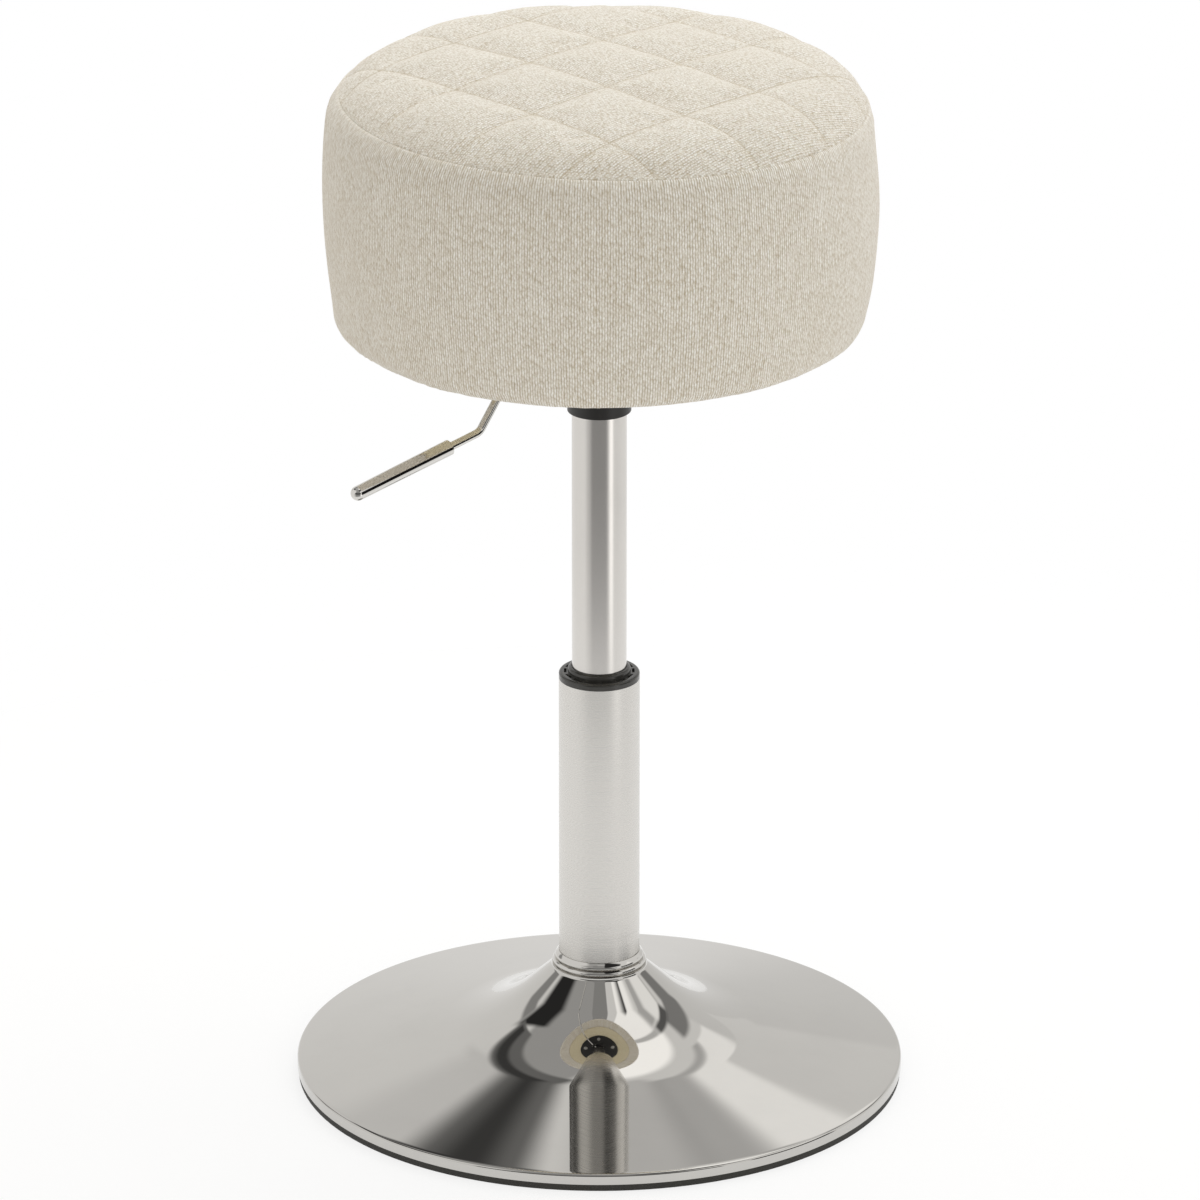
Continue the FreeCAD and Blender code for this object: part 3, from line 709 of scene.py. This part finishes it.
def linear(*levels):
    # a colour as seen on screen, 0 to 255, as the shader wants it
    parts = [c / 255 for c in levels]
    straight = [c / 12.92 if c <= 0.04045 else ((c + 0.055) / 1.055) ** 2.4 for c in parts]
    return tuple(straight) + (1.0,)


def newFinish(name):
    material = bpy.data.materials.new(name)
    material.use_nodes = True
    material.node_tree.nodes.clear()
    return material, Wire(material.node_tree)


def objectPlace(wire):
    place = wire.node("ShaderNodeTexCoord", out="Object")
    return place, [wire.node("ShaderNodeSeparateXYZ", None, {0: place}, out=i) for i in range(3)]


def grain(wire, place, scale, detail=2.0, roughness=0.5):
    return wire.node(
        "ShaderNodeTexNoise",
        None,
        {"Vector": place, "Scale": scale, "Detail": detail, "Roughness": roughness},
    )


def stretched(wire, place, scale):
    return wire.node("ShaderNodeMapping", None, {"Vector": place, "Scale": scale})


def blend(wire, share, first, second):
    return wire.node("ShaderNodeMix", {"data_type": "RGBA"}, {0: share, 6: first, 7: second}, out=2)


def spread(wire, value, low, high, outLow=0.0, outHigh=1.0, kind="LINEAR"):
    return wire.node(
        "ShaderNodeMapRange",
        {"interpolation_type": kind},
        {"Value": value, "From Min": low, "From Max": high, "To Min": outLow, "To Max": outHigh},
    )


def relief(wire, height, depth, strength=1.0):
    sockets = {"Height": height, "Distance": depth, "Strength": strength}
    return wire.node("ShaderNodeBump", None, sockets)


def surface(wire, **sockets):
    named = {key.replace("_", " "): value for key, value in sockets.items()}
    shader = wire.node("ShaderNodeBsdfPrincipled", None, named)
    wire.node("ShaderNodeOutputMaterial", None, {"Surface": shader})


# Finishes

creamCloth = {
    "tones": {
        "dyed": ((186, 170, 143), (253, 251, 245)),
        # the underside's copy of the cream is lighter and yellower: painted light standing in for
        # the light that the shaded underside doesn't get
        "underside": ((192, 172, 130), (255, 249, 224)),
    },
    "columns": 637,  # knit columns round the wall
    "columnPitch": 0.00175,  # on the flat panels
    "rowPitch": {"wall": 0.0030, "flat": 0.0018},
    "wander": 0.6,
    # how strongly the knots and the ribs between them show, and what evens out the tone
    "lays": {"wall": (0.65, 0.55, -0.86), "flat": (0.9, 0.25, -0.84)},
    "drift": 260,  # how often the columns wander
    "rowDrift": 1.7,
    "stagger": 0.37,  # each column's rows start this much further on
    "scatter": 0.6,
    "yarn": (0.8, 0.06),
    "fuzz": 1000,
    "cloud": 26,
    "shares": {"fleck": 0.28, "fuzz": 0.65, "streak": 0.26, "cloud": 0.06},
    "heights": {"knot": 0.6, "rib": 0.35, "fuzz": 0.35},
    "relief": 0.0006,
    "creaseShadow": (4, 0.08),  # painted shade in the dip beside a sewn line: its width, in widths of the painted dark line, and its darkness
    # the narrow painted shadow line in the crease of each sewn line: its width and its darkness
    # below
    "lineShadowWidth": 0.0008,
    "lineShadowStrength": 0.17,
}


def knitFinish(name, lay, sewnLines=(), tones="dyed"):
    material, wire = newFinish(name)
    place, (x, y, z) = objectPlace(wire)
    if sewnLines:  # the cloth as it was cut, before it went over the cushion
        cut = wire.node("ShaderNodeAttribute", {"attribute_name": "flatCloth"}, out="Vector")
        x, y = [wire.node("ShaderNodeSeparateXYZ", None, {0: cut}, out=i) for i in range(2)]
    turn = math.sqrt(0.5)
    rise, fall = (x + y) * turn, (y - x) * turn
    drift = grain(wire, place, creamCloth["drift"], 2) - 0.5
    if lay == "wall":
        across = wire.maths("ARCTAN2", x, y * -1) * (creamCloth["columns"] / (2 * math.pi))
        along = z / creamCloth["rowPitch"][lay]
    else:
        across = fall / creamCloth["columnPitch"]
        along = rise / creamCloth["rowPitch"][lay]
    column = across + drift * creamCloth["wander"]
    row = along + drift * (creamCloth["wander"] * creamCloth["rowDrift"])
    row = row + wire.maths("FLOOR", column) * creamCloth["stagger"]
    spot = wire.node("ShaderNodeCombineXYZ", None, {0: column, 1: row})
    knots = wire.node(
        "ShaderNodeTexVoronoi",
        {"voronoi_dimensions": "2D"},
        {"Vector": spot, "Scale": 1.0, "Randomness": creamCloth["scatter"]},
    )
    knot = 1 - knots
    fleck = knots.other("Color")
    rib = wire.maths("SINE", wire.maths("FRACT", column) * math.pi)
    yarnAcross, yarnAlong = creamCloth["yarn"]
    yarn = wire.node("ShaderNodeCombineXYZ", None, {0: across * yarnAcross, 1: along * yarnAlong})
    streak = grain(wire, yarn, 1.0, 2)
    fuzz = grain(wire, place, creamCloth["fuzz"], 3, 0.65)
    cloud = grain(wire, place, creamCloth["cloud"], 3)
    knotShare, ribShare, even = creamCloth["lays"][lay]
    shares = creamCloth["shares"]
    heights = creamCloth["heights"]
    tone = knot * knotShare + rib * ribShare + fleck * shares["fleck"]
    tone = tone + fuzz * shares["fuzz"] + streak * shares["streak"] + cloud * shares["cloud"] + even
    height = knot * heights["knot"] + rib * heights["rib"] + fuzz * heights["fuzz"]
    creaseShadowWidth, creaseShadowStrength = creamCloth["creaseShadow"]
    # painted shade along each sewn line: a soft darkening in the dip beside it and a narrow dark
    # line in its crease, where shade falls
    for side, offsets in zip((rise, fall), sewnLines):
        for offset in offsets:
            away = wire.maths("ABSOLUTE", side - offset)
            sewn = creamCloth["lineShadowWidth"]
            creaseShadow = spread(wire, away, 0, sewn * creaseShadowWidth, 1, 0, "SMOOTHSTEP")
            lineShadow = spread(wire, away, 0, sewn, 1, 0, "SMOOTHSTEP")
            tone = tone - creaseShadow * creaseShadowStrength - lineShadow * creamCloth["lineShadowStrength"]
    dark, light = creamCloth["tones"][tones]
    colour = blend(wire, tone, linear(*dark), linear(*light))
    surface(
        wire,
        Base_Color=colour,
        Roughness=spread(wire, fuzz, 0.2, 0.8, 0.82, 0.98),
        Normal=relief(wire, height, creamCloth["relief"]),
        Specular_IOR_Level=0.15,
        Sheen_Weight=0.15,
        Sheen_Roughness=0.6,
    )
    return material


thread = {"dark": (188, 174, 150), "light": (226, 216, 198), "twist": 2600, "relief": 0.0001}


def threadFinish():
    material, wire = newFinish("creamThread")
    place, _ = objectPlace(wire)
    twist = grain(wire, place, thread["twist"], 2)
    colour = blend(wire, twist, linear(*thread["dark"]), linear(*thread["light"]))
    surface(
        wire,
        Base_Color=colour,
        Roughness=0.85,
        Normal=relief(wire, twist, thread["relief"]),
        Specular_IOR_Level=0.2,
    )
    return material


chromeWear = {"smudge": 22, "speck": 700, "smudgeShare": 0.7, "speckShare": 0.3, "dull": 0.96}


def chromeFinish(name, tint, shine, haze):
    material, wire = newFinish(name)
    place, _ = objectPlace(wire)
    smudge = grain(wire, place, chromeWear["smudge"], 4, 0.6)
    speck = grain(wire, place, chromeWear["speck"], 2)
    wear = spread(wire, smudge, 0.45, 0.75) * chromeWear["smudgeShare"]
    wear = wear + spread(wire, speck, 0.62, 0.8) * chromeWear["speckShare"]
    dull = tuple(c * chromeWear["dull"] for c in linear(*tint)[:3]) + (1.0,)
    surface(
        wire,
        Base_Color=blend(wire, wear, linear(*tint), dull),
        Metallic=1.0,
        Roughness=wear * haze + shine,
    )
    return material


brushed = {
    "dark": (210, 207, 202),
    "light": (219, 217, 213),
    "fine": (4, 4, 900),  # stretched round the tube
    "broad": (3, 3, 300),
    "fineShare": 0.7,
    "shine": (0.22, 0.32),
    "relief": 0.00001,
}


def brushedFinish():
    material, wire = newFinish("brushedSteel")
    place, _ = objectPlace(wire)
    fine = grain(wire, stretched(wire, place, brushed["fine"]), 1.0, 2, 0.5)
    broad = grain(wire, stretched(wire, place, brushed["broad"]), 1.0, 2)
    line = fine * brushed["fineShare"] + broad * (1 - brushed["fineShare"])
    surface(
        wire,
        Base_Color=blend(wire, line, linear(*brushed["dark"]), linear(*brushed["light"])),
        Metallic=1.0,
        Roughness=spread(wire, line, 0.3, 0.7, *brushed["shine"]),
        Normal=relief(wire, line, brushed["relief"], 0.4),
        Anisotropic=0.5,
    )
    return material


moulding = {"broad": 0.06, "fineShare": 0.6, "broadShare": 0.4, "haze": 0.14}


def mouldedFinish(name, dark, light, gloss, scale, depth):
    material, wire = newFinish(name)
    place, _ = objectPlace(wire)
    fine = grain(wire, place, scale, 3, 0.6)
    broad = grain(wire, place, scale * moulding["broad"], 2)
    mixed = fine * moulding["fineShare"] + broad * moulding["broadShare"]
    surface(
        wire,
        Base_Color=blend(wire, broad, linear(*dark), linear(*light)),
        Roughness=spread(wire, mixed, 0.3, 0.7, gloss, gloss + moulding["haze"]),
        Normal=relief(wire, fine, depth, 0.6),
        Specular_IOR_Level=0.5,
    )
    return material


mottling = {"fine": 9, "mottleShare": 0.6, "fineShare": 0.4, "haze": 0.2, "relief": 0.00003}


def steelFinish(name, dark, light, gloss, scale):
    material, wire = newFinish(name)
    place, _ = objectPlace(wire)
    mottle = grain(wire, place, scale, 4, 0.6)
    fine = grain(wire, place, scale * mottling["fine"], 2)
    mixed = mottle * mottling["mottleShare"] + fine * mottling["fineShare"]
    surface(
        wire,
        Base_Color=blend(wire, mottle, linear(*dark), linear(*light)),
        Metallic=1.0,
        Roughness=spread(wire, mixed, 0.3, 0.7, gloss, gloss + mottling["haze"]),
        Normal=relief(wire, fine, mottling["relief"], 0.5),
    )
    return material


ply = {
    "dark": (164, 128, 86),
    "light": (222, 192, 148),
    "sheet": 0.003,
    "figure": (9, 70, 70),
    "layerShare": 0.4,
}


def plyFinish():
    material, wire = newFinish("birchPly")
    place, (_, _, z) = objectPlace(wire)
    layer = wire.maths("SINE", z * (2 * math.pi / ply["sheet"])) * 0.5 + 0.5
    figure = grain(wire, stretched(wire, place, ply["figure"]), 1.0, 5, 0.65)
    tone = layer * ply["layerShare"] + figure * (1 - ply["layerShare"])
    colour = blend(wire, tone, linear(*ply["dark"]), linear(*ply["light"]))
    surface(wire, Base_Color=colour, Roughness=0.7, Normal=relief(wire, figure, 0.0002, 0.5))
    return material


foam = {"dark": (206, 196, 160), "light": (238, 230, 200), "cells": 900.0, "relief": 0.0004}


def foamFinish():
    material, wire = newFinish("seatFoam")
    place, _ = objectPlace(wire)
    cells = wire.node("ShaderNodeTexVoronoi", None, {"Vector": place, "Scale": foam["cells"]})
    colour = blend(wire, cells, linear(*foam["dark"]), linear(*foam["light"]))
    surface(wire, Base_Color=colour, Roughness=0.95, Normal=relief(wire, cells, foam["relief"]))
    return material


chromed = {
    "chromed_base": {
        "name": "chromedBase",
        "tint": (197, 195, 191),
        "shine": 0.015,
        "haze": 0.05,
    },
    "chromed_collar": {
        "name": "chromedCollar",
        "tint": (205, 203, 199),
        "shine": 0.02,
        "haze": 0.05,
    },
    "chromed_cylinder": {
        "name": "chromedCylinder",
        "tint": (217, 214, 210),
        "shine": 0.19,
        "haze": 0.05,
    },
    "chromed_lever": {
        "name": "chromedLever",
        "tint": (216, 214, 210),
        "shine": 0.075,
        "haze": 0.02,
    },
}
moulded = {
    "black_rubber": {
        "name": "blackRubber",
        "dark": (38, 37, 34),
        "light": (56, 55, 51),
        "gloss": 0.62,
        "scale": 900,
        "depth": 0.0001,
    },
    "black_plastic": {
        "name": "blackPlastic",
        "dark": (46, 45, 43),
        "light": (60, 59, 56),
        "gloss": 0.08,
        "scale": 1500,
        "depth": 0.00001,
    },
    "guide_plastic": {
        "name": "guidePlastic",
        "dark": (206, 203, 194),
        "light": (224, 221, 212),
        "gloss": 0.4,
        "scale": 1200,
        "depth": 0.00003,
    },
    "black_steel": {
        "name": "blackEnamel",
        "dark": (22, 21, 20),
        "light": (33, 32, 30),
        "gloss": 0.34,
        "scale": 800,
        "depth": 0.00006,
    },
}
steels = {
    "ballast_steel": {
        "name": "ballastSteel",
        "dark": (78, 76, 73),
        "light": (120, 117, 112),
        "gloss": 0.45,
        "scale": 60,
    },
    "plain_steel": {
        "name": "zincSteel",
        "dark": (172, 170, 166),
        "light": (204, 203, 198),
        "gloss": 0.25,
        "scale": 120,
    },
}


def makeFinishes():
    made = {
        "brushed_tube": brushedFinish(),
        "plywood": plyFinish(),
        "foam": foamFinish(),
        # the underside's cloth takes the lighter copy of the cream, painted light for the shade
        # under the seat
        "cream_fabric": knitFinish("creamPlainPaintedLight", "flat", tones="underside"),
    }
    for finish, looks in ((chromeFinish, chromed), (mouldedFinish, moulded), (steelFinish, steels)):
        made.update({slot: finish(**look) for slot, look in looks.items()})
    return made


def dress(piece, material):
    piece.data.materials.clear()
    piece.data.materials.append(material)


finishes = makeFinishes()
for node in nodes.values():
    for place in node.material_slots:
        place.material = finishes[place.material.name]
print("finishes made:", len(finishes))

baseShell = trumpetBase()
dress(baseShell, finishes["chromed_base"])
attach(baseShell, "base")
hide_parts("base_shell")
print("trumpet base done")

collarRing = columnCollar()
dress(collarRing, finishes["chromed_collar"])
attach(collarRing, "base")
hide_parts("column_collar")
print("collar done")

topPanel = quiltedTop()
dress(topPanel, knitFinish("creamQuilt", "flat", quiltLines))
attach(topPanel, "seat")
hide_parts("seat_top_panel", "seat_foam")
print("top panel done")

sideCover = sideWall()
dress(sideCover, knitFinish("creamRib", "wall"))
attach(sideCover, "seat")
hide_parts("seat_side_cover")
print("side cover done")

clothUnder = undersideCloth()
dress(clothUnder, finishes["cream_fabric"])
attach(clothUnder, "seat")
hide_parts("seat_underside_cloth")
print("underside done")

stitches = quiltStitches(topPanel)
dress(stitches, threadFinish())
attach(stitches, "seat")

# Studio

floorLook = {
    "radius": 1.1,
    "edge": 0.3,
    "drop": 0.0004,  # just clear of the rubber's underside
    "fadeStart": 0.55,
    "fadeEnd": 1.0,
    "dark": (250, 249, 247),
    "light": (252, 251, 249),
    "paper": 300,
    "whitening": 0.8,
}


def studioFloor():
    clearSelection()
    bpy.ops.mesh.primitive_circle_add(
        vertices=128,
        radius=floorLook["radius"],
        fill_type="NGON",
        location=(0, 0, -floorLook["drop"]),
    )
    floor = bpy.context.object
    floor.name = "studioFloor"
    editAll(floor)
    bpy.ops.mesh.inset(thickness=floorLook["edge"])
    bpy.ops.object.mode_set(mode="OBJECT")
    material, wire = newFinish("paleFloor")
    place, _ = objectPlace(wire)
    away = wire.node("ShaderNodeVectorMath", {"operation": "LENGTH"}, {0: place}, out="Value")
    fade = spread(wire, away, floorLook["fadeStart"], floorLook["fadeEnd"], 1, 0, "SMOOTHSTEP")
    paper = grain(wire, place, floorLook["paper"], 3)
    colour = blend(wire, paper, linear(*floorLook["dark"]), linear(*floorLook["light"]))
    sheet = wire.node("ShaderNodeBsdfPrincipled", None, {"Base Color": colour, "Roughness": 0.9})
    # the floor turns into the white background, but keeps the shadow
    seen = wire.node("ShaderNodeLightPath", out="Is Camera Ray")
    seen = wire.maths("MAXIMUM", seen, seen.other("Is Glossy Ray")) * floorLook["whitening"]
    white = wire.node("ShaderNodeEmission", None, {"Color": (1.0, 1.0, 1.0, 1.0), "Strength": 1.0})
    sheet = wire.node("ShaderNodeMixShader", None, {0: seen, 1: sheet, 2: white})
    clear = wire.node("ShaderNodeBsdfTransparent")
    mixed = wire.node("ShaderNodeMixShader", None, {0: fade, 1: clear, 2: sheet})
    wire.node("ShaderNodeOutputMaterial", None, {"Surface": mixed})
    dress(floor, material)


# each panel of the room: its middle and half width across (0 behind the stool, 90 on its right),
# its middle and half height above the floor line, all in degrees; its light; how far it leans for
# each degree up; its soft edge
studio = {
    "surround": 0.92,
    "tint": (1.0, 0.99, 0.975, 1.0),
    "panels": (
        ("leftDim", -13, 6, 37.5, 4, 0.81, 0, 2.6),
        ("greyCeiling", -90, 84, 67, 17, 0.46, 0, 2.2),
        ("cameraCeiling", 178, 24, 66, 14, 0.34, 0, 2.2),
        ("darkArch", -76, 21, 48, 9, 0.03, -1.3, 3.0),
        ("backBand", -28, 23, 46.8, 6, 0.19, 0, 1.4),
        ("backLine", -28, 20.5, 45.0, 2.2, 0.06, 0, 1.2),
        ("leftStrip", -53, 6, 25, 14, 0.34, 0, 2.2),
        ("rightWedge", 3, 5, 45, 6, 0.7, 0, 1.6),
        ("rightShade", 8.2, 1.8, 44, 2.2, 0.5, 0, 1.6),
        ("backBox", 31, 26, 66, 12, 1.5, 0, 2.2),
        ("backGlow", 20, 12, 36, 5.5, 1.22, 0, 1.1),
        ("backShade", 19, 12, 43.8, 1.6, 0.6, 0, 1.4),
        ("backLow", 24, 20, 12, 19, 0.82, 0, 2.2),
        ("glowFoot", 12.9, 5.9, 27, 8.6, 0.89, -0.7, 0.9),
        ("rightFrame", 48, 9, 33, 13, 0.29, 0, 2.2),
        ("darkFrame", 60, 4.5, 46.5, 9, 0.14, 0, 2.2),
        ("boxGap", 60, 4, 64, 8, 0.68, 0, 2.2),
        ("rightBox", 97, 33, 67, 9, 1.4, 0, 2.2),
        ("rightSill", 80, 12, 53, 3.5, 0.6, 0, 2.2),
        ("rightWindow", 78, 14, 42, 8, 1.2, 0, 2.2),
        ("rightStand", 103, 19, 3, 18, 0.01, 0, 1.2),
        ("cameraDusk", 191, 44, -42, 50, 0.62, 0, 10.0),
        ("cameraWall", 180, 36, -20, 70, 0.29, 0, 9.0),
        ("cameraRail", 180, 46, 9, 9, 0.04, 0, 1.5),
        ("rightStrip", 128, 8, -22, 12, 1.5, 0, 2.2),
        ("darkDoor", 136, 26, 54, 11, 0.03, 0, 2.2),
    ),
}


def studioRoom():
    world = bpy.data.worlds.new("studioRoom")
    bpy.context.scene.world = world
    world.use_nodes = True
    world.node_tree.nodes.clear()
    wire = Wire(world.node_tree)
    way = wire.node("ShaderNodeTexCoord", out="Generated")
    x, y, z = [wire.node("ShaderNodeSeparateXYZ", None, {0: way}, out=i) for i in range(3)]
    across = wire.maths("ARCTAN2", x, y) * (180 / math.pi)
    up = wire.maths("ARCSINE", z) * (180 / math.pi)
    light = studio["surround"]
    for _, middle, half, level, halfLevel, shine, lean, soft in studio["panels"]:
        above = up - level
        turned = wire.maths("WRAP", across - above * lean - middle, 180, -180)
        aside = wire.maths("ABSOLUTE", turned)
        share = spread(wire, aside, half - soft, half + soft, 1, 0, "SMOOTHSTEP")
        off = wire.maths("ABSOLUTE", above)
        share = share * spread(wire, off, halfLevel - soft, halfLevel + soft, 1, 0, "SMOOTHSTEP")
        light = light * (1 - share) + share * shine
    ray = wire.node("ShaderNodeLightPath", out="Is Camera Ray")
    room = wire.node("ShaderNodeBackground", None, {"Color": studio["tint"], "Strength": light})
    plain = {"Color": (1.0, 1.0, 1.0, 1.0), "Strength": 1.0}
    white = wire.node("ShaderNodeBackground", None, plain)
    mixed = wire.node("ShaderNodeMixShader", None, {0: ray, 1: room, 2: white})
    wire.node("ShaderNodeOutputWorld", None, {"Surface": mixed})


lamps = {
    "overhead": {
        "place": (0.3, 1.1, 2.4),
        "aim": (0, 0, 0.3),
        "size": 2.0,
        "watts": 29.5,
        "colour": (0.95, 0.978, 1.0),
    },
    "frontFill": {
        "place": (1.0, -2.95, 0.5),
        "aim": (0, 0, 0.4),
        "size": 2.2,
        "watts": 30,
        "colour": (1.0, 0.985, 0.94),
    },
    "leftFill": {
        "place": (-2.4, -0.2, 1.4),
        "aim": (0, 0, 0.2),
        "size": 1.6,
        "watts": 5,
        "colour": (1.0, 0.93, 0.72),
    },
    "rightFill": {
        "place": (2.4, -0.2, 1.4),
        "aim": (0, 0, 0.4),
        "size": 1.6,
        "watts": 5.5,
        "colour": (0.97, 0.985, 1.0),
    },
}


def studioLamps():
    for name, lamp in lamps.items():
        clearSelection()
        bpy.ops.object.light_add(type="AREA", location=lamp["place"])
        light = bpy.context.object
        light.name = name
        light.data.size = lamp["size"]
        light.data.energy = lamp["watts"]
        light.data.color = lamp["colour"]
        light.visible_glossy = False  # the room's panels show in the chrome instead
        aim = Vector(lamp["aim"]) - Vector(lamp["place"])
        light.rotation_euler = aim.to_track_quat("-Z", "Y").to_euler()


camera = {
    "place": (0, -6.0877, 2.6831),
    "aim": (0, 0, 0.3194),
    "lens": 312.3,
    "sensor": 36,
    "shift": 0.0006,
    "reach": 60,
}


def studioCamera():
    clearSelection()
    bpy.ops.object.camera_add(location=camera["place"])
    view = bpy.context.object
    view.name = "photoCamera"
    view.data.lens = camera["lens"]
    view.data.sensor_width = camera["sensor"]
    view.data.shift_x = camera["shift"]
    view.data.clip_end = camera["reach"]
    aim = Vector(camera["aim"]) - Vector(camera["place"])
    view.rotation_euler = aim.to_track_quat("-Z", "Y").to_euler()
    bpy.context.scene.camera = view


studioFloor()
studioRoom()
studioLamps()
studioCamera()
bpy.context.scene.view_settings.view_transform = "Standard"
print("studio set")
